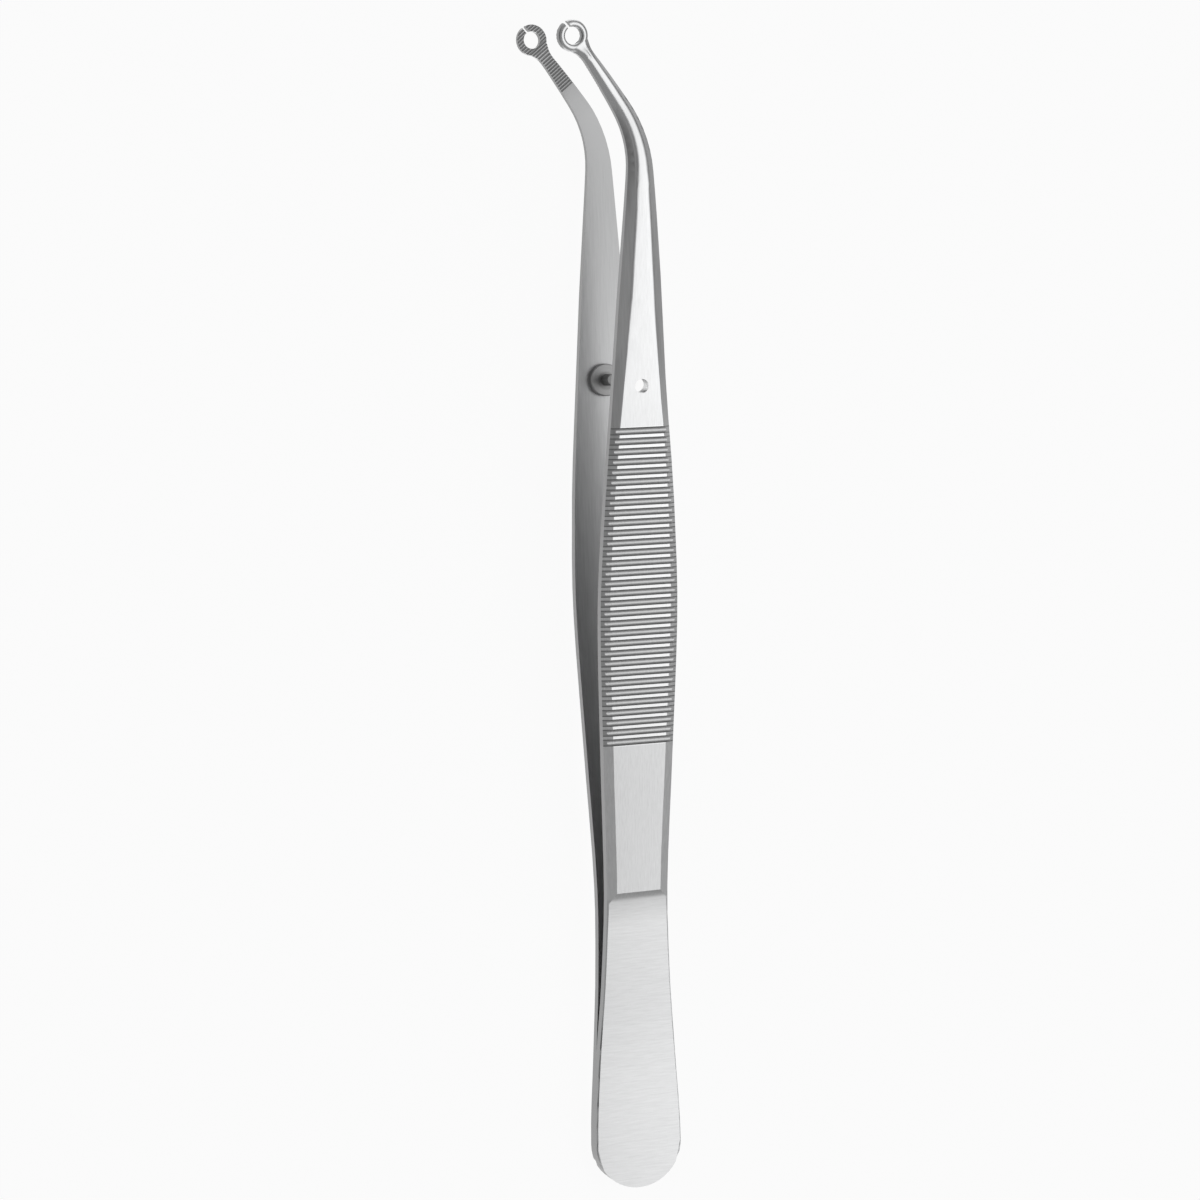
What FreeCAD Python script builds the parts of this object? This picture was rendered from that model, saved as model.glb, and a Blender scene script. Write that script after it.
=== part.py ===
import FreeCAD, Part
import math
import os

# Suture forceps with slotted ring tips.
# Two spring arms are welded face to face at the butt. A guide pin, riveted in the lower arm,
# enters a hole in the upper arm as the arms close.
#
# The arms are modelled about the weld plane: Y runs from the butt end to the tips, X to the side
# and Z out of the weld plane. The upper arm lies above that plane and the lower arm mirrors it.
# At the end everything is turned into the resting place, with the lower arm on the ground.
# All sizes are in millimetres and degrees.

Vector = FreeCAD.Vector

# Length, opening and side bend
overall_length = 150.0
weld_length = 18.3
jaw_opening = 14.4
shaft_lean = 0.4
lean_from = 100.0
side_bend_radius = 15.3
side_bend_angle = 33.0
jaw_curve_radius = 100.0
jaw_curve_angle = 6.0

# Width of an arm, at a distance from the butt end
butt_width = 11.68
crotch_width = 10.4
hollow_at = 27.0
hollow_width = 9.12
waist_at = 38.5
waist_width = 8.3
panel_at = 56.0
panel_width = 9.35
grip_at = 76.0
grip_width = 10.4
taper_at = 88.0
taper_width = 9.5
drilled_width = 7.0
mid_taper_at = 116.0
mid_taper_width = 5.63

# Width of the stem, at a distance back from the ring's centre
shaft_back = 17.4
shaft_width = 3.13
elbow_back = 10.6
elbow_width = 2.3
heel_back = 7.2
heel_width = 1.95
neck_back = 3.1
neck_width = 1.6
flare_back = 1.45
flare_width = 2.65

# Thickness of an arm
butt_thickness = 1.25
grip_thickness = 1.65
shoulder_thickness = 1.75
shaft_thickness = 1.5
ring_thickness = 1.2

# Long side bevels on the outer face: width across the face, and depth
panel_bevel_width = 1.18
grip_bevel_width = 1.0
grip_bevel_depth = 0.5
taper_bevel_width = 1.3
taper_bevel_depth = 0.8
shaft_bevel_width = 0.95
shaft_bevel_depth = 0.75
neck_bevel_width = 0.5
neck_bevel_depth = 0.4

# Rounding between the outer face and its bevels
grip_edge_radius = 0.2
taper_edge_radius = 0.8
shaft_edge_radius = 0.9
neck_edge_radius = 0.4

# Bow of an arm, seen from the side
crotch_spread = 3.3
arm_turn_at = 44.0
arm_turn_easing = 6.0
arm_spread = 4.4
knee_at = 98.0
knee_easing = 8.0
shaft_spread = 2.25
heel_turn_at = 132.0
heel_turn_easing = 4.0
heel_spread = -2.0
weld_stock = 0.1
jaw_stock = 0.08
crotch_easing = 1.0
outer_crotch_easing = 6.0

# Ground shoulder between the thin butt and the thick grip, a little askew
shoulder_foot_left = 37.9
shoulder_foot_right = 38.5
shoulder_top_left = 39.3
shoulder_top_right = 39.5

# Grip ribs: round grooves across the outer face
rib_first = 59.2
rib_pitch = 1.2822
rib_grooves = 32
rib_cutter_radius = 0.49
rib_depth = 0.3

# Slotted ring tip and its jaw teeth
ring_diameter = 4.1
ring_hole_diameter = 2.15
ring_slot_width = 0.48
ring_edge = 0.45
ring_hole_edge = 0.2
tooth_pitch = 0.38
tooth_width = 0.3
tooth_depth = 0.13
stem_teeth = 14
tooth_shift = 0.5
jaw_seat_clearance = 0.04

# Guide pin, its collar and the hole that it enters
guide_reach = 86.55
guide_pin_diameter = 1.5
guide_hole_clearance = 0.15
guide_pin_height = 4.5
guide_point_length = 0.9
guide_point_diameter = 0.5
collar_diameter = 4.15
collar_height = 1.05
collar_edge = 0.12
collar_seat_depth = 0.12
shank_diameter = 1.6
rivet_clearance = 0.01

# Steps of the curves, and how far stock and cutters pass what they make
long_step = 4.0
short_step = 1.2
overrun = 1.0
side_margin = 0.4


def ramp(distance, easing):
    """A line that starts at a bend, with the bend eased over a short length on both sides."""
    if distance <= -easing:
        return 0.0
    if distance >= easing:
        return distance
    return (distance + easing) ** 2 / (4 * easing)


def flow(stations, at):
    """A smooth value through stations, flat where it turns and at both ends."""
    if at <= stations[0][0]:
        return stations[0][1]
    if at >= stations[-1][0]:
        return stations[-1][1]
    rises = [(b[1] - a[1]) / (b[0] - a[0]) for a, b in zip(stations, stations[1:])]
    slopes = [0.0]
    for before, after in zip(rises, rises[1:]):
        slopes.append(2 * before * after / (before + after) if before * after > 0 else 0.0)
    slopes.append(0.0)
    i = max(k for k in range(len(stations) - 1) if stations[k][0] <= at)
    start, end = stations[i], stations[i + 1]
    span = end[0] - start[0]
    u = (at - start[0]) / span
    return (
        start[1] * (1 + 2 * u) * (1 - u) ** 2
        + end[1] * u * u * (3 - 2 * u)
        + span * slopes[i] * u * (1 - u) ** 2
        - span * slopes[i + 1] * u * u * (1 - u)
    )


def steps(start, end, step):
    count = math.ceil((end - start) / step)
    return [start + (end - start) * k / count for k in range(count + 1)]


def slope_of(angle):
    return math.tan(math.radians(angle))


# Places along the centreline, worked out from the sizes above
butt_radius = butt_width / 2
ring_radius = ring_diameter / 2
ring_hole_radius = ring_hole_diameter / 2
bend_end_heading = math.radians(side_bend_angle)
ring_heading = math.radians(side_bend_angle + jaw_curve_angle)
bend_length = side_bend_radius * bend_end_heading
jaw_curve_length = jaw_curve_radius * (ring_heading - bend_end_heading)
bend_rise = side_bend_radius * math.sin(bend_end_heading)
jaw_curve_rise = jaw_curve_radius * (math.sin(ring_heading) - math.sin(bend_end_heading))
ring_y = overall_length - ring_radius
bend_from = ring_y - bend_rise - jaw_curve_rise
bend_to = bend_from + bend_length
ring_at = bend_to + jaw_curve_length
rib_last = rib_first + (rib_grooves - 1) * rib_pitch

# The jaw faces meet flat when the arms close, so they lie on a plane through the crotch line
jaw_angle = math.atan(jaw_opening / 2 / (ring_y - weld_length))
jaw_normal = Vector(0, -math.sin(jaw_angle), math.cos(jaw_angle))
jaw_direction = Vector(0, math.cos(jaw_angle), math.sin(jaw_angle))
crotch = Vector(0, weld_length, 0)
jaw_base = crotch + jaw_normal * (jaw_seat_clearance / 2)
to_jaw_plane = FreeCAD.Rotation(Vector(1, 0, 0), math.degrees(jaw_angle))

width_stations = [
    (butt_radius, butt_width),
    (weld_length, crotch_width),
    (hollow_at, hollow_width),
    (waist_at, waist_width),
    (panel_at, panel_width),
    (grip_at, grip_width),
    (taper_at, taper_width),
    (weld_length + guide_reach, drilled_width),
    (mid_taper_at, mid_taper_width),
    (ring_at - shaft_back, shaft_width),
    (ring_at - elbow_back, elbow_width),
    (ring_at - heel_back, heel_width),
    (ring_at - neck_back, neck_width),
    (ring_at - flare_back, flare_width),
]
thickness_stations = [
    (grip_at, grip_thickness),
    (mid_taper_at, shoulder_thickness),
    (ring_at - shaft_back, shaft_thickness),
    (ring_at - neck_back, ring_thickness),
]
bevel_width_stations = [
    (panel_at, panel_bevel_width),
    (rib_last, grip_bevel_width),
    (mid_taper_at, taper_bevel_width),
    (ring_at - shaft_back, shaft_bevel_width),
    (ring_at - neck_back, neck_bevel_width),
]
bevel_depth_stations = [
    (grip_at, grip_bevel_depth),
    (mid_taper_at, taper_bevel_depth),
    (ring_at - shaft_back, shaft_bevel_depth),
    (ring_at - neck_back, neck_bevel_depth),
]
edge_stations = [
    (rib_last, grip_edge_radius),
    (mid_taper_at, taper_edge_radius),
    (ring_at - shaft_back, shaft_edge_radius),
    (ring_at - neck_back, neck_edge_radius),
]
lean_stations = [(lean_from, 0.0), (bend_from, shaft_lean)]


def heading(at):
    """Angle of the centreline from Y towards -X."""
    if at <= bend_from:
        return 0.0
    if at <= bend_to:
        return (at - bend_from) / side_bend_radius
    return bend_end_heading + (at - bend_to) / jaw_curve_radius


def centre(at):
    """Point of the centreline in plan."""
    lean = flow(lean_stations, at)
    turn = heading(at)
    if at <= bend_from:
        return Vector(lean, at, 0)
    if at <= bend_to:
        aside = side_bend_radius * (math.cos(turn) - 1)
        return Vector(lean + aside, bend_from + side_bend_radius * math.sin(turn), 0)
    along = jaw_curve_radius * (math.sin(turn) - math.sin(bend_end_heading))
    aside = jaw_curve_radius * (math.cos(turn) - math.cos(bend_end_heading))
    return centre(bend_to) + Vector(aside, along, 0)


def beside(at, aside, up=0.0):
    """Point at a sideways distance from the centreline."""
    turn = heading(at)
    return centre(at) + Vector(aside * math.cos(turn), aside * math.sin(turn), up)


def half_width(at):
    return flow(width_stations, at) / 2


def free_height(at):
    """Inner face of the stock over the weld plane, before it turns towards the jaw plane."""
    crotch_rise = slope_of(crotch_spread)
    arm_rise = slope_of(arm_spread)
    shaft_rise = slope_of(shaft_spread)
    heel_rise = slope_of(heel_spread)
    height = -weld_stock
    height += crotch_rise * ramp(at - weld_length + weld_stock / crotch_rise, crotch_easing)
    height += (arm_rise - crotch_rise) * ramp(at - arm_turn_at, arm_turn_easing)
    height += (shaft_rise - arm_rise) * ramp(at - knee_at, knee_easing)
    height += (heel_rise - shaft_rise) * ramp(at - heel_turn_at, heel_turn_easing)
    return height


def find_jaw_start():
    """Where the falling inner face has passed the jaw plane by the jaw stock."""
    probe = heel_turn_at + heel_turn_easing
    above = free_height(probe) - math.tan(jaw_angle) * (probe - weld_length)
    return probe + (above + jaw_stock) / (math.tan(jaw_angle) - slope_of(heel_spread))


jaw_from = find_jaw_start()


def inner_height(at):
    """Inner face of the stock. It passes the weld and jaw planes a little, and they trim it."""
    jaw_rise = math.tan(jaw_angle) - slope_of(heel_spread)
    return free_height(at) + jaw_rise * ramp(at - jaw_from, crotch_easing)


def outer_height(at):
    return inner_height(at) + flow(thickness_stations, at)


def butt_height(at):
    """Outer face of the thin butt, parallel to the inner face past the crotch."""
    return butt_thickness + slope_of(crotch_spread) * ramp(at - weld_length, outer_crotch_easing)

def smooth_curve(points, start=None, end=None):
    curve = Part.BSplineCurve()
    if start:
        curve.interpolate(Points=points, InitialTangent=start, FinalTangent=end)
    else:
        curve.interpolate(points)
    return curve.toShape()


def make_section(at):
    """Cross-section of the stock: flat inner face, side walls, bevels and outer face."""
    inner = inner_height(at)
    outer = outer_height(at)
    bevel_width = flow(bevel_width_stations, at)
    bevel_depth = flow(bevel_depth_stations, at)
    radius = flow(edge_stations, at)
    slope = math.atan2(bevel_depth, bevel_width)
    tangent = radius * math.tan(slope / 2)
    corner = half_width(at) - bevel_width
    face_end = corner - tangent
    bevel_top = corner + tangent * math.cos(slope)
    bevel_high = outer - tangent * math.sin(slope)
    mid_aside = face_end + radius * math.sin(slope / 2)
    mid_high = outer - radius * (1 - math.cos(slope / 2))
    wall = half_width(at) + side_margin
    wall_top = outer - bevel_depth - side_margin * math.tan(slope)
    low_left = beside(at, -wall, inner)
    low_right = beside(at, wall, inner)
    high_right = beside(at, wall, wall_top)
    high_left = beside(at, -wall, wall_top)
    bevel_right = beside(at, bevel_top, bevel_high)
    bevel_left = beside(at, -bevel_top, bevel_high)
    face_right = beside(at, face_end, outer)
    face_left = beside(at, -face_end, outer)
    right_arc = Part.Arc(bevel_right, beside(at, mid_aside, mid_high), face_right)
    left_arc = Part.Arc(face_left, beside(at, -mid_aside, mid_high), bevel_left)
    return Part.Wire([
        Part.LineSegment(low_left, low_right).toShape(),
        Part.LineSegment(low_right, high_right).toShape(),
        Part.LineSegment(high_right, bevel_right).toShape(),
        right_arc.toShape(),
        Part.LineSegment(face_right, face_left).toShape(),
        left_arc.toShape(),
        Part.LineSegment(bevel_left, high_left).toShape(),
        Part.LineSegment(high_left, low_left).toShape(),
    ])


def make_bar():
    """The forged bar, a little wider than the arm, along the whole centreline."""
    places = steps(-overrun, bend_from, long_step)
    places += steps(bend_from, ring_at - flare_back, short_step)[1:]
    return Part.makeLoft([make_section(at) for at in places], True, False)


def make_outline():
    """Plan outline from the round butt to the ring, drawn up through the bar."""
    places = steps(butt_radius, bend_from, long_step)
    places += steps(bend_from, ring_at - neck_back, short_step)[1:]
    places += steps(ring_at - neck_back, ring_at - flare_back, short_step / 2)[1:]
    left_points = [beside(at, -half_width(at)) for at in places]
    right_points = [beside(at, half_width(at)) for at in places]
    end_turn = heading(places[-1])
    butt_direction = Vector(0, 1, 0)
    tip_direction = Vector(-math.sin(end_turn), math.cos(end_turn), 0)
    left = smooth_curve(left_points, butt_direction, tip_direction)
    right = smooth_curve(right_points, butt_direction, tip_direction)
    butt = Part.Arc(left_points[0], Vector(0, 0, 0), right_points[0]).toShape()
    tip = Part.LineSegment(left_points[-1], right_points[-1]).toShape()
    face = Part.Face(Part.Wire([butt, right, tip, left]))
    face.translate(Vector(0, 0, -overrun))
    return face.extrude(Vector(0, 0, jaw_opening + overrun))


def make_butt_relief():
    """What is ground away over the flat of the thin butt."""
    flat_length = weld_length - outer_crotch_easing
    relief = Part.makeBox(2 * butt_width, flat_length + overrun, jaw_opening)
    relief.translate(Vector(-butt_width, -overrun, butt_thickness))
    return relief


def make_crotch_relief():
    """What is ground away from the flat of the butt up to the slanting shoulder."""
    flat_length = weld_length - outer_crotch_easing
    straight_from = weld_length + outer_crotch_easing
    curve_steps = steps(flat_length, straight_from, long_step / 2)
    sides = []
    for aside, foot, top in (
        (-butt_width, shoulder_foot_left, shoulder_top_left),
        (butt_width, shoulder_foot_right, shoulder_top_right),
    ):
        points = [Vector(aside, at, butt_height(at)) for at in curve_steps]
        foot_point = Vector(aside, foot, butt_height(foot))
        rise = Vector(aside, top, outer_height(top)) - foot_point
        along = Vector(0, 1, 0)
        curve = smooth_curve(points, along, foot_point - points[-1])
        high_end = foot_point + rise * ((jaw_opening - foot_point.z) / rise.z)
        high_start = Vector(aside, flat_length, jaw_opening)
        sides.append(Part.Wire([
            curve,
            Part.LineSegment(points[-1], foot_point).toShape(),
            Part.LineSegment(foot_point, high_end).toShape(),
            Part.LineSegment(high_end, high_start).toShape(),
            Part.LineSegment(high_start, points[0]).toShape(),
        ]))
    return Part.makeLoft(sides, True, True)


def make_weld_trim():
    """What is ground off the inner face to make the flat weld face."""
    trim = Part.makeBox(2 * butt_width, weld_length + 2 * overrun, overrun)
    trim.translate(Vector(-butt_width, -overrun, -overrun))
    return trim


def make_rib_cutters():
    """Round cutters for the grooves between the ribs."""
    cutters = []
    for k in range(rib_grooves):
        at = rib_first + k * rib_pitch
        start = Vector(-butt_width, at, outer_height(at) + rib_cutter_radius - rib_depth)
        cutters.append(Part.makeCylinder(rib_cutter_radius, 2 * butt_width, start, Vector(1, 0, 0)))
    return cutters


def make_ring():
    """The turned ring tip with its rounded outer face, standing on the jaw plane."""
    edge_middle = ring_edge * (1 - math.sqrt(0.5))
    profile = [
        Vector(ring_hole_radius, 0, 0),
        Vector(ring_radius, 0, 0),
        Vector(ring_radius, 0, ring_thickness - ring_edge),
        Vector(ring_radius - edge_middle, 0, ring_thickness - edge_middle),
        Vector(ring_radius - ring_edge, 0, ring_thickness),
        Vector(ring_hole_radius + ring_hole_edge, 0, ring_thickness),
        Vector(ring_hole_radius, 0, ring_thickness - ring_hole_edge),
    ]
    outline = Part.Face(Part.makePolygon(profile + profile[:1]))
    ring = outline.revolve(Vector(0, 0, 0), Vector(0, 0, 1), 360)
    ring.Placement = FreeCAD.Placement(ring_base(), to_jaw_plane)
    return ring


def ring_base():
    """Centre of the ring on the jaw plane."""
    reach = (ring_y - weld_length) / math.cos(jaw_angle)
    return jaw_base + jaw_direction * reach + Vector(centre(ring_at).x, 0, 0)


def on_jaw_plane(shape):
    """Puts a shape, made with its axis along Y at the origin, on the jaw axis at the ring's centre."""
    turned = FreeCAD.Rotation(Vector(0, 0, 1), math.degrees(ring_heading))
    shape.Placement = FreeCAD.Placement(ring_base(), to_jaw_plane.multiply(turned))
    return shape


def make_ring_slot():
    slot = Part.makeBox(ring_slot_width, ring_diameter, ring_thickness + 2 * overrun)
    slot.translate(Vector(-ring_slot_width / 2, 0, -overrun))
    return on_jaw_plane(slot)


def make_ring_hole():
    start = Vector(0, 0, -overrun)
    return on_jaw_plane(Part.makeCylinder(ring_hole_radius, ring_thickness + 2 * overrun, start))


def make_teeth(shift):
    """Fine grooves across the jaw face, over the ring and the end of the stem."""
    first = -ring_radius - stem_teeth * tooth_pitch
    count = int((ring_radius - first) / tooth_pitch) + 1
    cutters = []
    for k in range(count):
        at = first + (k + shift) * tooth_pitch
        corners = [
            Vector(-ring_diameter, at - tooth_width, -tooth_depth),
            Vector(-ring_diameter, at, tooth_depth),
            Vector(-ring_diameter, at + tooth_width, -tooth_depth),
        ]
        groove = Part.Face(Part.makePolygon(corners + corners[:1]))
        cutters.append(on_jaw_plane(groove.extrude(Vector(2 * ring_diameter, 0, 0))))
    return cutters


def make_jaw_trim():
    """What is ground off the inner face to make the flat jaw face."""
    trim = Part.makeBox(4 * butt_width, overall_length - knee_at, jaw_opening)
    trim.translate(Vector(-2 * butt_width, knee_at - weld_length, -jaw_opening))
    trim.Placement = FreeCAD.Placement(jaw_base, to_jaw_plane).multiply(trim.Placement)
    return trim


def make_blank():
    """An arm with its ring and ribs, before the jaw teeth and the guide hole."""
    arm = make_outline().common(make_bar())
    arm = arm.cut([make_butt_relief(), make_crotch_relief()])
    arm = arm.cut(make_weld_trim())
    arm = arm.cut(make_rib_cutters())
    arm = arm.fuse(make_ring())
    arm = arm.cut([make_ring_hole(), make_ring_slot()])
    return arm.cut(make_jaw_trim())


def on_guide_axis(shape):
    """Puts a shape, made with its axis along Z at the origin, on the guide axis over the jaw plane."""
    shape.Placement = FreeCAD.Placement(crotch + jaw_direction * guide_reach, to_jaw_plane)
    return shape


def collar_seat_height():
    """Height of the collar's seat over the jaw plane."""
    face_y = weld_length + guide_reach
    return (Vector(0, face_y, inner_height(face_y)) - crotch).dot(jaw_normal) + collar_seat_depth


def make_guide_hole():
    radius = guide_pin_diameter / 2 + guide_hole_clearance
    return on_guide_axis(Part.makeCylinder(radius, jaw_opening))


def make_collar_seat():
    radius = collar_diameter / 2 + rivet_clearance
    return on_guide_axis(Part.makeCylinder(radius, collar_seat_height()))


def make_shank_cylinder(radius):
    shank = Part.makeCylinder(radius, jaw_opening, Vector(0, 0, collar_seat_height()))
    return on_guide_axis(shank)


def make_guide_pin(drilled):
    """One turned piece: the shank fills the rivet hole flush with the outer face."""
    seat = collar_seat_height()
    collar_radius = collar_diameter / 2
    pin_radius = guide_pin_diameter / 2
    collar_face = seat - collar_height
    tip = seat - guide_pin_height
    profile = [
        Vector(0, 0, seat),
        Vector(collar_radius, 0, seat),
        Vector(collar_radius, 0, collar_face + collar_edge),
        Vector(collar_radius - collar_edge, 0, collar_face),
        Vector(pin_radius, 0, collar_face),
        Vector(pin_radius, 0, tip + guide_point_length),
        Vector(guide_point_diameter / 2, 0, tip),
        Vector(0, 0, tip),
    ]
    outline = Part.Face(Part.makePolygon(profile + profile[:1]))
    turned = outline.revolve(Vector(0, 0, 0), Vector(0, 0, 1), 360)
    shank = make_shank_cylinder(shank_diameter / 2).common(drilled)
    return on_guide_axis(turned).fuse(shank).removeSplitter()


def mirrored(shape):
    """The lower arm's side of the weld plane."""
    return shape.mirror(Vector(0, 0, 0), Vector(0, 0, 1))


def rest_lean():
    """Angle that lays the lower arm on its butt end and on its knee."""
    places = steps(grip_at, heel_turn_at, short_step)
    return max(math.atan((outer_height(at) - butt_thickness) / at) for at in places)


def true_box(shape):
    return shape.optimalBoundingBox(False, False)


def to_rest(shapes):
    """Turns the forceps onto the ground, with the origin under the middle of its bounding box."""
    lean = FreeCAD.Rotation(Vector(1, 0, 0), math.degrees(rest_lean()))
    turn = FreeCAD.Placement(Vector(0, 0, 0), lean)
    for shape in shapes:
        shape.Placement = turn.multiply(shape.Placement)
    box = true_box(Part.makeCompound(shapes))
    shift = FreeCAD.Placement(Vector(-box.Center.x, -box.Center.y, -box.ZMin), FreeCAD.Rotation())
    for shape in shapes:
        shape.Placement = shift.multiply(shape.Placement)
    return shift.multiply(turn)


def flipped(vector):
    return Vector(vector.x, vector.y, -vector.z)


def report_place(name, point, direction):
    place = rest.multVec(point)
    axis = rest.Rotation.multVec(direction)
    print("%s at %.3f, %.3f, %.3f mm" % (name, place.x, place.y, place.z))
    print("  axis %.5f, %.5f, %.5f" % (axis.x, axis.y, axis.z))


blank = make_blank()
seated_blank = blank.cut(make_collar_seat())
upper_arm = blank.cut(make_teeth(tooth_shift) + [make_guide_hole()])
rivet_hole = make_shank_cylinder(shank_diameter / 2 + rivet_clearance)
lower_arm = mirrored(seated_blank.cut(make_teeth(0.0) + [rivet_hole]))
guide_pin = mirrored(make_guide_pin(seated_blank))

nodes = {"lower_arm": lower_arm, "guide_pin": guide_pin, "upper_arm": upper_arm}
rest = to_rest(list(nodes.values()))
os.makedirs("parts", exist_ok=True)
for name, shape in nodes.items():
    box = true_box(shape)
    solids = len(shape.Solids)
    print("%s: solids %d, valid %s, volume %.2f mm3" % (name, solids, shape.isValid(), shape.Volume))
    print("  from %.3f %.3f %.3f" % (box.XMin, box.YMin, box.ZMin))
    print("  to %.3f %.3f %.3f" % (box.XMax, box.YMax, box.ZMax))
    shape.exportStep("parts/%s.step" % name)

ring_mid = ring_base() + jaw_normal * (ring_thickness / 2)
report_place("crotch line", crotch, Vector(1, 0, 0))
report_place("upper ring bore", ring_mid, jaw_normal)
report_place("lower ring bore", flipped(ring_mid), flipped(jaw_normal))
report_place("guide axis", crotch + flipped(jaw_direction) * guide_reach, jaw_normal)
report_place("lower butt face", Vector(0, butt_radius, -butt_thickness), Vector(0, 0, -1))
print("closing angle %.4f degrees" % (2 * math.degrees(jaw_angle)))
print("resting lean %.3f degrees" % math.degrees(rest_lean()))
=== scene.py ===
import math

import bmesh
import bpy
from mathutils import Euler, Matrix, Vector
from mathutils.bvhtree import BVHTree


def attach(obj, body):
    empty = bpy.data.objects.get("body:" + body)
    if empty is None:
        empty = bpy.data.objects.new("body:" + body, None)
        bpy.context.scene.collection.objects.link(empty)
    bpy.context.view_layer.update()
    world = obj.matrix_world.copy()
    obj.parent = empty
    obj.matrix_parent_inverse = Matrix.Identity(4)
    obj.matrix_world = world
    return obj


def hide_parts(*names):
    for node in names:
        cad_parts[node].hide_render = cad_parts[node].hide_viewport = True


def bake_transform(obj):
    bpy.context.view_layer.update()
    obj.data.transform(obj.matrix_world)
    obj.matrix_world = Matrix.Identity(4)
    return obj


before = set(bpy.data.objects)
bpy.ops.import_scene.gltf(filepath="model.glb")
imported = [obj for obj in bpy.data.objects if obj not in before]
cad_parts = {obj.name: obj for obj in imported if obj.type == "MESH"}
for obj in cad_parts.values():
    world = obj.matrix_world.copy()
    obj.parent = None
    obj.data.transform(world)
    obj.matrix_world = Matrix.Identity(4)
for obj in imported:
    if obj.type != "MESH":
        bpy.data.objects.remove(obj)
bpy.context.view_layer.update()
scene = bpy.context.scene


class Socket:
    def __init__(self, shader, output):
        self.shader = shader
        self.output = output

    def math(self, operation, other=0, swap=False):
        pair = (other, self) if swap else (self, other)
        return self.shader.add("ShaderNodeMath", {"operation": operation}, {0: pair[0], 1: pair[1]})

    def toward(self, target, share):
        return self + share * (target - self)

    def __add__(self, other):
        return self.math("ADD", other)

    def __radd__(self, other):
        return self.math("ADD", other, True)

    def __sub__(self, other):
        return self.math("SUBTRACT", other)

    def __rsub__(self, other):
        return self.math("SUBTRACT", other, True)

    def __mul__(self, other):
        return self.math("MULTIPLY", other)

    def __rmul__(self, other):
        return self.math("MULTIPLY", other, True)


class Shader:
    def __init__(self, tree):
        self.tree = tree
        self.tree.nodes.clear()

    def add(self, kind, settings=None, values=None, output=0):
        node = self.tree.nodes.new(kind)
        for name, value in (settings or {}).items():
            setattr(node, name, value)
        for name, value in (values or {}).items():
            if isinstance(value, Socket):
                self.tree.links.new(value.output, node.inputs[name])
            else:
                node.inputs[name].default_value = value
        return Socket(self, node.outputs[output]) if output is not None else None

    def smooth(self, value, low, high, fromValue=0.0, toValue=1.0):
        limits = {"From Min": low, "From Max": high, "To Min": fromValue, "To Max": toValue}
        settings = {"interpolation_type": "SMOOTHSTEP"}
        return self.add("ShaderNodeMapRange", settings, {"Value": value, **limits})

    def finish(self, kind, values, ending="ShaderNodeOutputMaterial"):
        self.add(ending, None, {"Surface": self.add(kind, None, values)}, None)

    def split(self, vector):
        node = self.add("ShaderNodeSeparateXYZ", None, {0: vector}).output.node
        return [Socket(self, output) for output in node.outputs]

    def place(self):
        return self.add("ShaderNodeTexCoord", None, None, "Object")

    def normal(self):
        return self.add("ShaderNodeTexCoord", None, None, "Normal")

    def streaks(self, scale, detail, roughness):
        stretched = self.add("ShaderNodeMapping", None, {"Vector": self.place(), "Scale": scale})
        values = {"Vector": stretched, "Scale": 1.0, "Detail": detail, "Roughness": roughness}
        return self.add("ShaderNodeTexNoise", {"noise_dimensions": "3D"}, values, "Fac")


# Camera and studio

view = {
    "place": (-0.160417, 0.031407, 0.438631),
    "turn": (-2.76177, -20.34683, -2.62115),  # degrees
    "lens": 108.71,
    "sensor": 36.0,
    "nearest": 0.01,
    "farthest": 20,
}
studio = {
    "floorSize": 6.0,
    "floorColour": (0.86, 0.86, 0.86, 1),
    "floorWhite": 0.94,  # share of the floor that shows plain white
    "boxToward": (0.52, -0.06, 0.85),
    "boxInner": 0.93,  # cosines of the bright box's inner and outer edge
    "boxOuter": 0.81,
    "boxGlow": 1.32,
    "lensToward": (-0.33, 0.06, 0.94),  # the dark camera, as the steel sees it
    "lensInner": 0.995,
    "lensOuter": 0.96,
    "lensGlow": 0.12,
    "roomGlow": 0.36,
    "horizonGlow": 0.6,
    "horizonTop": 0.07,  # heights between which the horizon's glow fades into the room's
    "horizonFoot": 0.01,
}
lamps = {
    "overheadBox": {"place": (0.3, -0.04, 0.52), "size": (0.3, 0.3), "glow": 0.2},
}


def makeCamera():
    data = bpy.data.cameras.new("photoCamera")
    data.sensor_width = view["sensor"]
    data.lens = view["lens"]
    data.clip_start = view["nearest"]
    data.clip_end = view["farthest"]
    item = bpy.data.objects.new("photoCamera", data)
    item.location = view["place"]
    item.rotation_euler = Euler([math.radians(angle) for angle in view["turn"]])
    scene.collection.objects.link(item)
    scene.camera = item


def makeLamp(name, settings):
    data = bpy.data.lights.new(name, "AREA")
    data.shape = "RECTANGLE"
    data.size, data.size_y = settings["size"]
    data.energy = settings["glow"] * math.pi * data.size * data.size_y
    item = bpy.data.objects.new(name, data)
    item.location = settings["place"]
    item.rotation_euler = (-Vector(settings["place"])).to_track_quat("-Z", "Y").to_euler()
    item.visible_camera = False
    scene.collection.objects.link(item)


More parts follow.
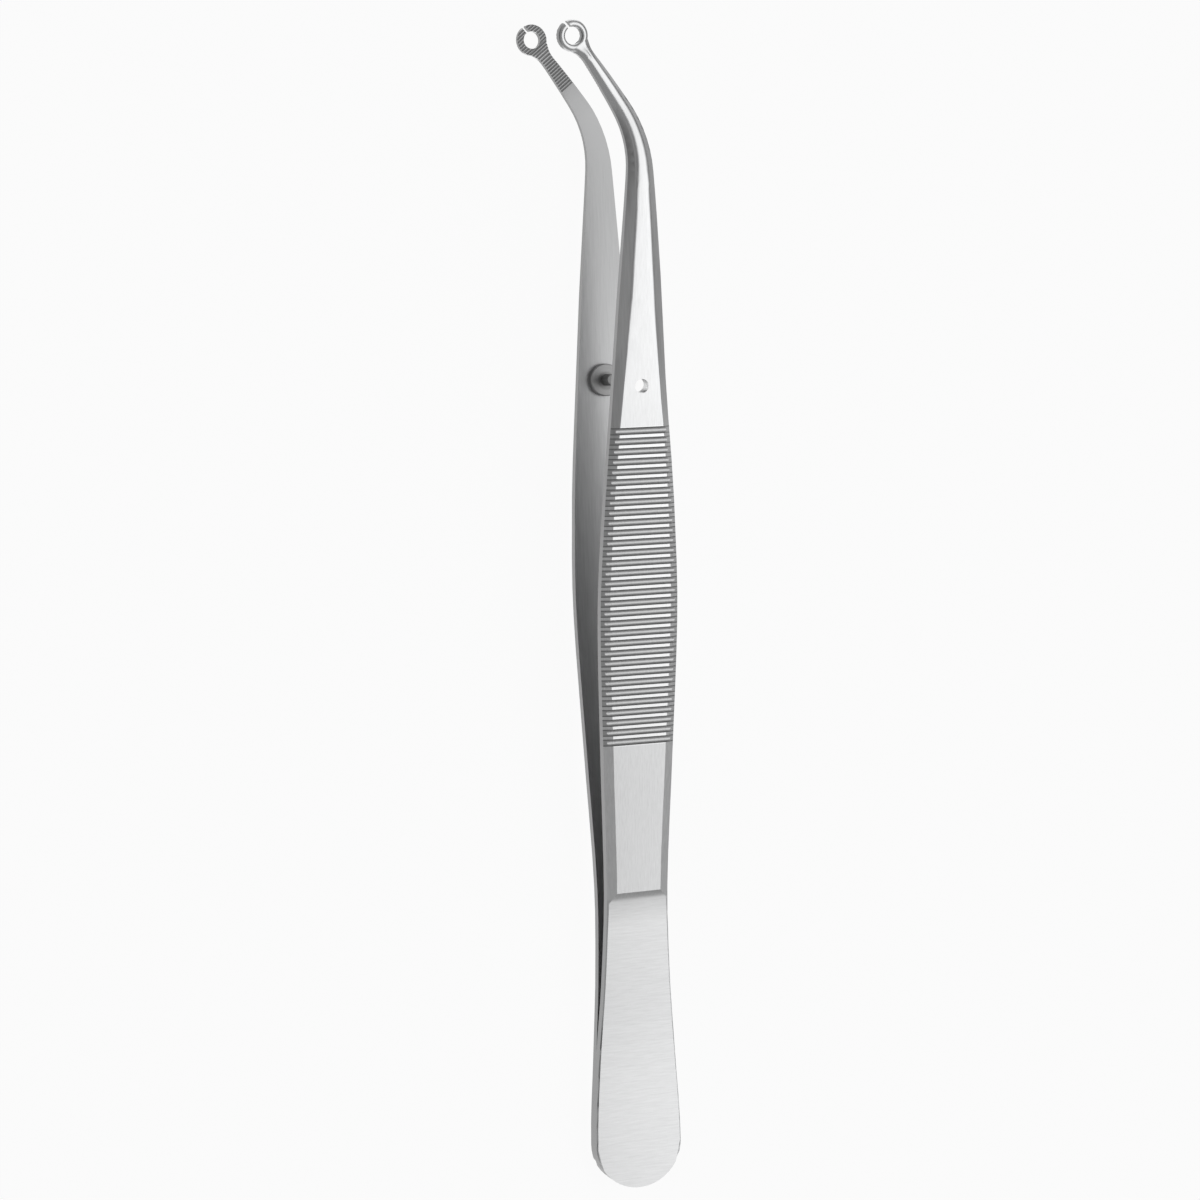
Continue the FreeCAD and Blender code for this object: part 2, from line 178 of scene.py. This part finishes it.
def makeSky():
    world = bpy.data.worlds.new("studioSky")
    world.use_nodes = True
    scene.world = world
    shader = Shader(world.node_tree)
    toward = shader.add("ShaderNodeTexCoord", None, None, "Generated")
    height = shader.split(toward)[2]
    glow = shader.smooth(
        height, studio["horizonTop"], studio["horizonFoot"], studio["roomGlow"], studio["horizonGlow"])
    for name in ("lens", "box"):
        line = tuple(Vector(studio[name + "Toward"]).normalized())
        facing = shader.add(
            "ShaderNodeVectorMath", {"operation": "DOT_PRODUCT"}, {0: toward, 1: line}, "Value")
        share = shader.smooth(facing, studio[name + "Outer"], studio[name + "Inner"])
        glow = glow.toward(studio[name + "Glow"], share)
    shader.finish("ShaderNodeBackground", {"Strength": glow}, "ShaderNodeOutputWorld")


def newObject(name, bm):
    mesh = bpy.data.meshes.new(name)
    bm.to_mesh(mesh)
    bm.free()
    item = bpy.data.objects.new(name, mesh)
    scene.collection.objects.link(item)
    return item


def makeFloor():
    bm = bmesh.new()
    bmesh.ops.create_grid(bm, x_segments=1, y_segments=1, size=studio["floorSize"] / 2)
    floor = newObject("studioFloor", bm)
    material = bpy.data.materials.new("paleFloor")
    material.use_nodes = True
    shader = Shader(material.node_tree)
    rays = [shader.add("ShaderNodeLightPath", None, None, name)
            for name in ("Is Camera Ray", "Is Glossy Ray", "Is Transmission Ray")]
    seen = (rays[0] + rays[1] + rays[2]).math("MINIMUM", 1.0)
    matte = shader.add("ShaderNodeBsdfDiffuse", None, {"Color": studio["floorColour"]})
    white = shader.add("ShaderNodeEmission", None, {"Color": (1, 1, 1, 1), "Strength": 1.0})
    shader.finish("ShaderNodeMixShader", {0: seen * studio["floorWhite"], 1: matte, 2: white})
    floor.data.materials.append(material)


makeCamera()
makeSky()
for lampName, lampSettings in lamps.items():
    makeLamp(lampName, lampSettings)
makeFloor()
print("studio made")

# Steel finishes, with painted light and shade in their tones

layout = {  # the arms' own length line in the resting place, metres
    "leanSine": 0.061311,
    "leanCosine": 0.998119,
    "middleX": 0.002215,
    "buttY": -0.075045,
    "weldZ": 0.001248,
    "pinY": 0.029668,
}
ribs = {  # metres along the arm, and from the middle line of a groove
    "first": 0.0592,
    "pitch": 0.0012822,
    "count": 32,
    "grooveFlat": 0.0002,
    "grooveHalf": 0.00045,
    "grooveBlur": 0.00002,
    "startMargin": 0.0006,
    "fullMargin": 0.0005,
}
zones = {  # metres along the arm between which one look fades into the next
    "butt": (0.0388, 0.0382),
    "taper": (0.085, 0.105),
    "innerFront": (0.13, 0.1),
    "plainJaw": (0.128, 0.137),
}
facings = {  # parts of the surface direction between which a kind of face begins
    "wall": (0.5, 0.68),
    "bevel": (0.12, 0.35),
    "leftBevel": (-0.12, -0.3),
    "shoulder": (-0.2, -0.3),
    "face": (0.5, 0.8),
}
steel = {
    # Face, panel and butt tones are painted light levels, one for each zone
    "faceTone": 0.88,
    "panelTone": 0.75,
    "buttTone": 0.84,
    # Painted highlight on the lands between the grooves
    "ribHighlight": 0.98,
    # Painted highlight on the shoulder ramp
    "shoulderHighlight": 0.98,
    # Painted shade on the bevels
    "bevelShade": 0.5,
    # Painted light on the left bevels: lighter shade than the right ones, and a painted highlight
    # beside the panel
    "leftBevelShade": 0.76,
    "leftPanelHighlight": 0.94,
    # Painted shade in the grooves, deepest along their edges; their duller milled finish is in the
    # roughness
    "grooveShade": 0.62,
    "grooveEdgeShade": 0.2,
    # Painted shade on the side walls
    "sideWallShade": 0.30,
    # Painted shade on the inner faces, lighter towards the butt
    "innerShade": 0.46,
    "innerBackShade": 0.56,
    # Painted reflection on the guide hole's wall
    "holeWallReflection": 1.0,
    "tint": (0.995, 1.0, 1.005),
    "roughness": 0.33,
    "grooveRoughness": 0.36,
    "holeRoughness": 0.45,
    "grainRoughness": 0.1,
    "guideAlong": 0.10485,
    "holeReach": 0.00105,
    "holeBlur": 0.0001,
    "streakScale": (5200, 240, 5200),
    "crossScale": (420, 4200, 4200),
    "streakDetail": 3.0,
    "streakRoughness": 0.6,
    "streakDepth": 0.000006,
    "grainMiddle": 0.5,
    "grainContrast": 0.32,
    "crown": 3.0,  # how strongly the ground faces are crowned, per metre
}


def ribMask(shader, along):
    end = ribs["first"] + (ribs["count"] - 1) * ribs["pitch"]
    start = shader.smooth(
        along, ribs["first"] - ribs["startMargin"], ribs["first"] - ribs["fullMargin"])
    return start * shader.smooth(along, end + ribs["startMargin"], end + ribs["fullMargin"])


def grooveOffset(along):
    turns = (along - ribs["first"]) * (1 / ribs["pitch"])
    return (turns - turns.math("ROUND")).math("ABSOLUTE") * ribs["pitch"]


def makeSteel(name, outward):
    material = bpy.data.materials.new(name)
    material.use_nodes = True
    shader = Shader(material.node_tree)
    x, y, z = shader.split(shader.place())
    side = x - layout["middleX"]
    along = (y - layout["buttY"]) * layout["leanCosine"] + (z - layout["weldZ"]) * layout["leanSine"]
    facing = shader.split(shader.normal())
    sideways = facing[0].math("ABSOLUTE")

    wall = shader.smooth(sideways, *facings["wall"])
    bevel = shader.smooth(sideways, *facings["bevel"])
    left = shader.smooth(facing[0], *facings["leftBevel"])
    inner = shader.smooth(facing[2] * -outward, *facings["face"])
    outer = shader.smooth(facing[2] * outward, *facings["face"])
    butt = shader.smooth(along, *zones["butt"])
    upper = shader.smooth(along, *zones["taper"])
    shoulder = shader.smooth(facing[1], *facings["shoulder"]) * butt
    ribbed = ribMask(shader, along)
    offset = grooveOffset(along)
    half, blur = ribs["grooveHalf"], ribs["grooveBlur"]
    groove = ribbed * shader.smooth(offset, half + blur, half - blur) * (1 - inner)
    fromHole = (side * side + (along - steel["guideAlong"]).math("POWER", 2)).math("SQRT")
    hole = shader.smooth(fromHole, steel["holeReach"] + steel["holeBlur"], steel["holeReach"])
    hole = hole * (1 - outer) * (1 - inner)

    # Painted shade in the grooves, deepest along their edges
    grooveShade = shader.smooth(
        offset, ribs["grooveFlat"], half, steel["grooveShade"], steel["grooveEdgeShade"])
    # Painted shade on the inner faces, lighter towards the butt
    innerShade = shader.smooth(
        along, *zones["innerFront"], steel["innerShade"], steel["innerBackShade"])
    # Painted light on the left bevels: lighter shade than the right ones, and a painted highlight
    # beside the panel
    leftPaintedLight = steel["leftPanelHighlight"] + upper * (steel["leftBevelShade"] - steel["leftPanelHighlight"])
    # Painted light: the panel, face and butt each get their own brightness level
    tone = steel["panelTone"] + upper * (steel["faceTone"] - steel["panelTone"])
    # Painted shade on the bevels
    tone = tone.toward(steel["bevelShade"], upper * bevel)
    tone = tone.toward(leftPaintedLight, left)
    tone = tone.toward(steel["buttTone"], butt)
    # Painted highlight on the shoulder ramp, picked by its facing
    tone = tone.toward(steel["shoulderHighlight"], shoulder)
    # Painted highlight on the lands between the grooves
    tone = tone.toward(steel["ribHighlight"], ribbed * (1 - bevel))
    # Painted shade in the grooves
    tone = tone.toward(grooveShade, groove)
    # Painted shade on the side walls
    tone = tone.toward(steel["sideWallShade"], wall)
    # Painted shade on the inner faces
    tone = tone.toward(innerShade, inner)
    # Painted reflection on the guide hole's wall
    tone = tone.toward(steel["holeWallReflection"], hole)

    lengthwise, crosswise = [
        shader.streaks(steel[scale], steel["streakDetail"], steel["streakRoughness"])
        for scale in ("streakScale", "crossScale")]
    grain = lengthwise.toward(crosswise, butt * (1 - inner))
    grain = grain.toward(steel["grainMiddle"], shader.smooth(along, *zones["plainJaw"]))
    unevenness = grain - steel["grainMiddle"]
    tone = tone * (1 + unevenness * steel["grainContrast"])
    tint = [tone * part for part in steel["tint"]]
    colour = shader.add("ShaderNodeCombineColor", None, {0: tint[0], 1: tint[1], 2: tint[2]})

    rough = steel["roughness"] + groove * (steel["grooveRoughness"] - steel["roughness"])
    rough = rough.toward(steel["holeRoughness"], hole) + unevenness * steel["grainRoughness"]
    plainFrom, plainTo = zones["plainJaw"]
    crown = shader.smooth(along, plainTo, plainFrom, 0.0, steel["crown"])
    height = grain * steel["streakDepth"] - side * side * crown
    bump = shader.add(
        "ShaderNodeBump", None, {"Strength": 1.0, "Distance": 1.0, "Height": height}, "Normal")
    shader.finish("ShaderNodeBsdfPrincipled", {
        "Base Color": colour, "Metallic": 1.0, "Roughness": rough, "Normal": bump})
    return material


turned = {
    # Painted shade: the collar is kept dark where it sits between the arms, darker still round the
    # pin's foot
    "tone": 0.42,
    "pinFootShade": 0.3,
    "midRadius": 0.0009,
    "fullRadius": 0.00135,
    "ringScale": 5200,
    "ringBase": 0.85,
    "ringContrast": 0.3,
    "roughness": 0.38,
}


def makeTurnedSteel(name):
    material = bpy.data.materials.new(name)
    material.use_nodes = True
    shader = Shader(material.node_tree)
    x, y = shader.split(shader.place())[:2]
    side = x - layout["middleX"]
    along = y - layout["pinY"]
    distance = (side * side + along * along).math("SQRT")
    marks = shader.add(
        "ShaderNodeTexNoise", {"noise_dimensions": "1D"},
        {"W": distance, "Scale": turned["ringScale"]})
    # Painted shade: darker round the pin's foot
    tone = shader.smooth(
        distance, turned["midRadius"], turned["fullRadius"], turned["pinFootShade"], turned["tone"])
    tone = tone * (turned["ringBase"] + marks * turned["ringContrast"])
    colour = shader.add("ShaderNodeCombineColor", None, {0: tone, 1: tone, 2: tone})
    shader.finish("ShaderNodeBsdfPrincipled", {
        "Base Color": colour, "Metallic": 1.0, "Roughness": turned["roughness"]})
    return material


# Arms and guide pin

arms = {
    "mergeDistance": 0.000002,
    "sharpAngle": 22.0,  # degrees
    "shoulderSharpAngle": 7.0,
    "jawSharpAngle": 48.0,
    "jawFrom": 0.126,
    "shoulderFrom": 0.0389,
    "shoulderTo": 0.0399,
    "normalWeight": 60,
    "bendFrom": -0.0585,
    "bendTo": -0.0515,
    "bendCuts": 14,
    "missingGroove": 9,  # the one groove between the ribs that the solid lacks, counted from 0
    "grooveRadius": 0.00049,
    "grooveDepth": 0.0003,
    "grooveSegments": 64,
    "cutterLength": 0.03,
    "probeHeight": 0.05,
    "buttEdge": 0.00016,  # width of the edge break round the thin butt
    "buttEdgeEnd": 0.0372,
    "wallFacing": 0.9,  # how far a face turns sideways, from 0 to 1
    "flatFacing": 0.05,
    "bevelFacing": (0.25, 0.6),
    "leastStep": 0.0000001,
}
rings = {  # middle of each bore and way out of the outer face, then how both are finished
    "upper_arm": ((-0.006005, 0.072113, 0.01812), (0, -0.11651, 0.99319)),
    "lower_arm": ((-0.006005, 0.073071, 0.002511), (0, 0.00591, -0.99998)),
    "heading": 39.0,  # degrees from +Y towards -X
    "halfThickness": 0.0006,
    "bore": 0.001075,
    "radius": 0.00205,
    "finishedBore": 0.0011,
    "finishedRadius": 0.00195,
    "thinning": 0.2,
    "thinTo": 0.0035,
    "slotFrom": 0.0009675,
    "slotHalf": 0.00024,
    "finishedSlotHalf": 0.00034,
    "touch": 0.00002,
}


def finishRing(bm, node):
    middle, outward = rings[node]
    up = Vector(outward).normalized()
    heading = math.radians(rings["heading"])
    right = Vector((1, 0, 0))
    ahead = up.cross(right) * math.copysign(1, up.z)
    forward = ahead * math.cos(heading) - right * math.sin(heading)
    aside = forward.cross(up)
    base = Vector(middle) - up * rings["halfThickness"]
    widening = rings["finishedRadius"] - rings["finishedBore"]
    for vert in bm.verts:
        offset = vert.co - base
        x, y, z = offset.dot(aside), offset.dot(forward), offset.dot(up)
        reach = math.hypot(x, y)
        if reach > rings["thinTo"]:
            continue
        if abs(abs(x) - rings["slotHalf"]) < rings["touch"] and y > rings["slotFrom"]:
            x = math.copysign(rings["finishedSlotHalf"], x)
        share = (reach - rings["bore"]) / (rings["radius"] - rings["bore"])
        change = rings["finishedBore"] + share * widening - reach
        fade = (rings["thinTo"] - reach) / (rings["thinTo"] - rings["radius"])
        fade = min(max(fade, 0), 1)
        fade = fade * fade * (3 - 2 * fade)
        x += change * fade * x / reach
        y += change * fade * y / reach
        vert.co = base + aside * x + forward * y + up * z * (1 - rings["thinning"] * fade)


# Sideways, along and up in the arms' own frame
def armPlace(point):
    y = point.y - layout["buttY"]
    z = point.z - layout["weldZ"]
    along = y * layout["leanCosine"] + z * layout["leanSine"]
    return point.x - layout["middleX"], along, z * layout["leanCosine"] - y * layout["leanSine"]


def worldPlace(side, along, up):
    y = along * layout["leanCosine"] - up * layout["leanSine"]
    z = along * layout["leanSine"] + up * layout["leanCosine"]
    return Vector((side + layout["middleX"], y + layout["buttY"], z + layout["weldZ"]))


def cutGroove(bm, outward):
    along = ribs["first"] + arms["missingGroove"] * ribs["pitch"]
    start = worldPlace(0, along, outward * arms["probeHeight"])
    aim = worldPlace(0, along, 0) - start
    face = BVHTree.FromBMesh(bm).ray_cast(start, aim)[0]
    up = armPlace(face)[2] + outward * (arms["grooveRadius"] - arms["grooveDepth"])
    turn = Matrix.Translation(worldPlace(0, along, up)) @ Matrix.Rotation(math.pi / 2, 4, "Y")
    cutterMesh = bmesh.new()
    bmesh.ops.create_cone(
        cutterMesh, cap_ends=True, segments=arms["grooveSegments"], radius1=arms["grooveRadius"],
        radius2=arms["grooveRadius"], depth=arms["cutterLength"], matrix=turn)
    cutter = newObject("grooveCutter", cutterMesh)
    stock = newObject("grooveStock", bm)
    modifier = stock.modifiers.new("groove", "BOOLEAN")
    modifier.object = cutter
    modifier.solver = "EXACT"
    evaluated = stock.evaluated_get(bpy.context.evaluated_depsgraph_get())
    cut = bpy.data.meshes.new_from_object(evaluated)
    bpy.data.objects.remove(cutter)
    bpy.data.objects.remove(stock)
    result = bmesh.new()
    result.from_mesh(cut)
    return result


def wallPlaces(bm):
    places = set()
    for vert in bm.verts:
        side, along = armPlace(vert.co)[:2]
        turnedAway = any(abs(face.normal.x) > arms["wallFacing"] for face in vert.link_faces)
        if along < arms["shoulderTo"] and turnedAway:
            places.add((round(along, 5), round(abs(side), 6)))
    return sorted(places)


def narrowButtEdge(bm, outward):
    walls = wallPlaces(bm)
    low, high = arms["bevelFacing"]
    for vert in bm.verts:
        side, along, up = armPlace(vert.co)
        if along > arms["buttEdgeEnd"] or up * outward < 0:
            continue
        kinds = [abs(face.normal.x) for face in vert.link_faces]
        onEdge = min(kinds) < arms["flatFacing"] and any(low < kind < high for kind in kinds)
        if onEdge and walls[0][0] < along:
            before = [wall for wall in walls if wall[0] <= along][-1]
            after = [wall for wall in walls if wall[0] >= along][0]
            share = (along - before[0]) / max(after[0] - before[0], arms["leastStep"])
            width = before[1] + share * (after[1] - before[1])
            vert.co = worldPlace(math.copysign(width - arms["buttEdge"], side), along, up)


def markSharp(bm):
    plain, shoulder, jaw = [
        math.radians(arms[name]) for name in ("sharpAngle", "shoulderSharpAngle", "jawSharpAngle")]
    for edge in bm.edges:
        places = [armPlace(vert.co)[1] for vert in edge.verts]
        limit = plain
        if min(places) > arms["shoulderFrom"] and max(places) < arms["shoulderTo"]:
            limit = shoulder
        if min(places) > arms["jawFrom"]:
            limit = jaw
        edge.smooth = edge.calc_face_angle(math.pi) < limit


def copyNode(node, name, material, outward=0):
    bm = bmesh.new()
    bm.from_mesh(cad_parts[node].data)
    bmesh.ops.remove_doubles(bm, verts=bm.verts, dist=arms["mergeDistance"])
    if outward:
        bm = cutGroove(bm, outward)
        narrowButtEdge(bm, outward)
        finishRing(bm, node)
    bm.normal_update()
    for face in bm.faces:
        face.smooth = True
    markSharp(bm)
    piece = newObject(name, bm)
    piece.data.materials.clear()
    piece.data.materials.append(material)
    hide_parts(node)
    weighted = piece.modifiers.new("faceNormals", "WEIGHTED_NORMAL")
    weighted.keep_sharp = True
    weighted.weight = arms["normalWeight"]
    return piece


def cutAcross(piece):
    bm = bmesh.new()
    bm.from_mesh(piece.data)
    span = arms["bendTo"] - arms["bendFrom"]
    for k in range(arms["bendCuts"] + 1):
        at = Vector((0, arms["bendFrom"] + span * k / arms["bendCuts"], 0))
        geometry = bm.verts[:] + bm.edges[:] + bm.faces[:]
        bmesh.ops.bisect_plane(bm, geom=geometry, plane_co=at, plane_no=(0, 1, 0))
    bm.to_mesh(piece.data)
    bm.free()


lowerArm = copyNode("lower_arm", "lowerArm", makeSteel("lowerArmSteel", -1.0), -1)
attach(lowerArm, "lower")
guidePin = copyNode("guide_pin", "guidePin", makeTurnedSteel("guidePinSteel"))
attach(guidePin, "lower")
upperArm = copyNode("upper_arm", "upperArm", makeSteel("upperArmSteel", 1.0), 1)
cutAcross(upperArm)
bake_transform(upperArm)
print("arms and guide pin made")

scene.view_settings.view_transform = "Standard"
